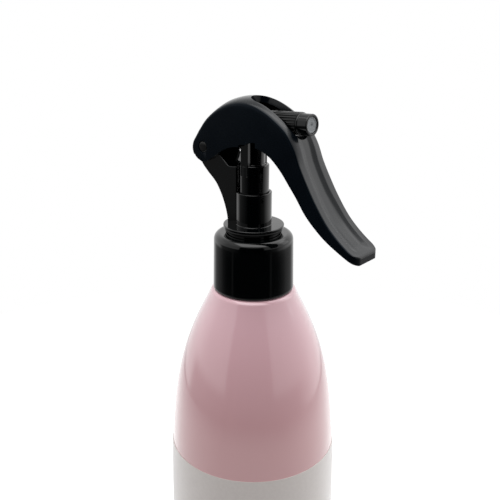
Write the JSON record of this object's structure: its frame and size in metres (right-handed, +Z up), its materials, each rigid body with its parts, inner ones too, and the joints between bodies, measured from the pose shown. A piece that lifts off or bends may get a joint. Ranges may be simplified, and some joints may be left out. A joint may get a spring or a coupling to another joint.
{
  "type": "trigger spray bottle",
  "caption": "Round-shouldered plastic bottle with a screw closure, a dip-tube pump and a rear-pivoted hooded trigger over a twist nozzle.",
  "frame": {"origin": "centre of the bottle's standing face", "axes": "+Z up along the bottle's axis, +X the way the nozzle sprays and the lever reaches, +Y across the trigger"},
  "size_m": [0.0742, 0.0604, 0.2042],
  "materials": {
    "bottle_pet": "glossy opaque rose",
    "label_film": "satin film, bare",
    "black_pp": "polished moulding",
    "natural_pp": "satin moulding",
    "seal_pe": "soft",
    "steel": "drawn and polished",
    "tube_pe": "milky extrusion",
    "insert_pom": "satin moulding"
  },
  "bodies": {
    "bottle": {"bottle": "bottle_pet", "label": "label_film"},
    "sprayer": {"neck_gasket": "seal_pe", "collar_body": "black_pp", "pump_housing": "natural_pp", "stem_guide": "natural_pp", "stem_seal": "seal_pe", "return_spring": "steel", "dip_tube": "tube_pe"},
    "closure": {"closure": "black_pp"},
    "plunger": {"piston": "seal_pe", "plunger_rod": "natural_pp", "stem": "natural_pp", "actuator_head": "black_pp", "swirl_core": "natural_pp"},
    "nozzle_carrier": {"nozzle_seal": "seal_pe"},
    "nozzle": {"nozzle_knob": "black_pp", "nozzle_insert": "insert_pom"},
    "trigger": {"trigger": "black_pp"},
    "inlet_ball": {"inlet_ball": "steel"},
    "outlet_ball": {"outlet_ball": "steel"}
  },
  "joints": [
    {"name": "sprayer_lift", "type": "slide", "parent": "bottle", "child": "sprayer", "axis": [0, 0, 1], "range_m": [0, 0.0064]},
    {"name": "closure_turn", "type": "hinge", "parent": "sprayer", "child": "closure", "pos_m": [0, 0, 0.15], "axis": [0, 0, 1], "range_deg": [0, 540]},
    {"name": "trigger_squeeze", "type": "hinge", "parent": "sprayer", "child": "trigger", "pos_m": [-0.0166, 0, 0.1866], "axis": [0, 1, 0], "range_deg": [0, 17], "stiffness_Nm_per_rad": 0.13, "springref_deg": -18.91},
    {"name": "plunger_stroke", "type": "slide", "parent": "sprayer", "child": "plunger", "axis": [0, 0, -1], "range_m": [0, 0.0055], "deforming": ["return_spring"]},
    {"name": "nozzle_advance", "type": "slide", "parent": "plunger", "child": "nozzle_carrier", "axis": [0.9981, 0, 0.061], "range_m": [0, 0.0012]},
    {"name": "nozzle_twist", "type": "hinge", "parent": "nozzle_carrier", "child": "nozzle", "pos_m": [0, 0, 0.1962], "axis": [0.9981, 0, 0.061], "range_deg": [0, 360]},
    {"name": "inlet_ball_lift", "type": "slide", "parent": "sprayer", "child": "inlet_ball", "axis": [0, 0, 1], "range_m": [0, 0.001]},
    {"name": "outlet_ball_lift", "type": "slide", "parent": "plunger", "child": "outlet_ball", "axis": [0, 0, 1], "range_m": [0, 0.001]}
  ],
  "couplings": [
    {"joint": "sprayer_lift", "follows": "closure_turn", "m_per_rad": 0.00067322},
    {"joint": "plunger_stroke", "follows": "trigger_squeeze", "m_per_rad": 0.0182},
    {"joint": "nozzle_twist", "follows": "nozzle_advance", "rad_per_m": 5235.5}
  ]
}
